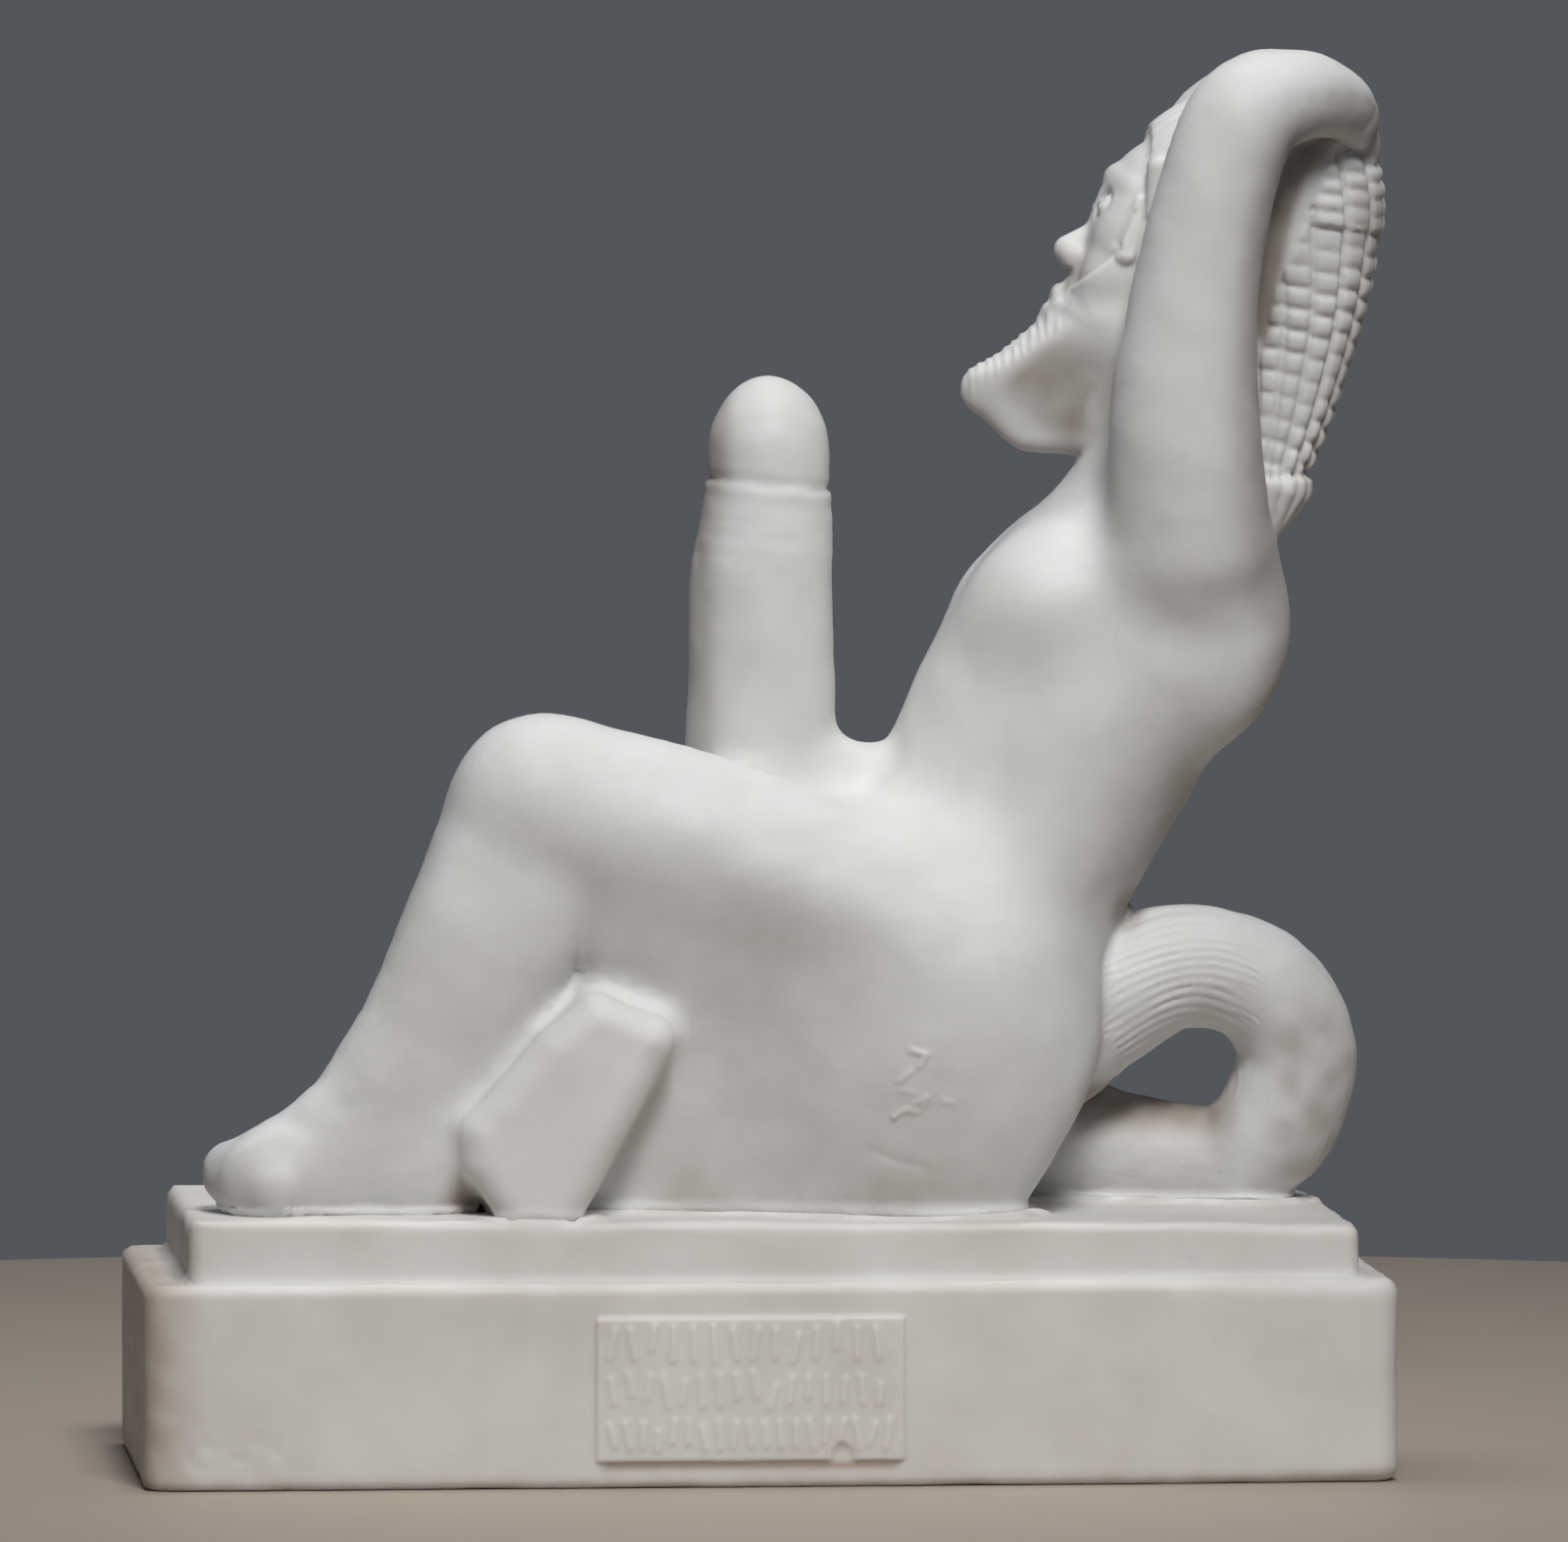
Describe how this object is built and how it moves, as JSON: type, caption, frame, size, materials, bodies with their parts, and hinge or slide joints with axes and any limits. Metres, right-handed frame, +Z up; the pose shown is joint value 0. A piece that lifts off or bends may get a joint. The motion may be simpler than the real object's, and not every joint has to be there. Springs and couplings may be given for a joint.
{
  "type": "satyr statuette",
  "caption": "Reclining ithyphallic satyr, arms folded behind a bearded head with beaded hair, horse tail looped behind, on a stepped plinth with a small plaque.",
  "frame": {"origin": "middle of the plinth's underside", "axes": "+X from the toes to the tail, +Y away from the viewer who sees the figure's left side, +Z up"},
  "size_m": [0.1494, 0.064, 0.1683],
  "materials": {
    "figure_alabaster": "satin, warm white cast alabaster",
    "plinth_alabaster": "satin, slightly pinker cast alabaster"
  },
  "bodies": {
    "root": {"satyr": "figure_alabaster", "plinth": "plinth_alabaster"}
  },
  "joints": []
}
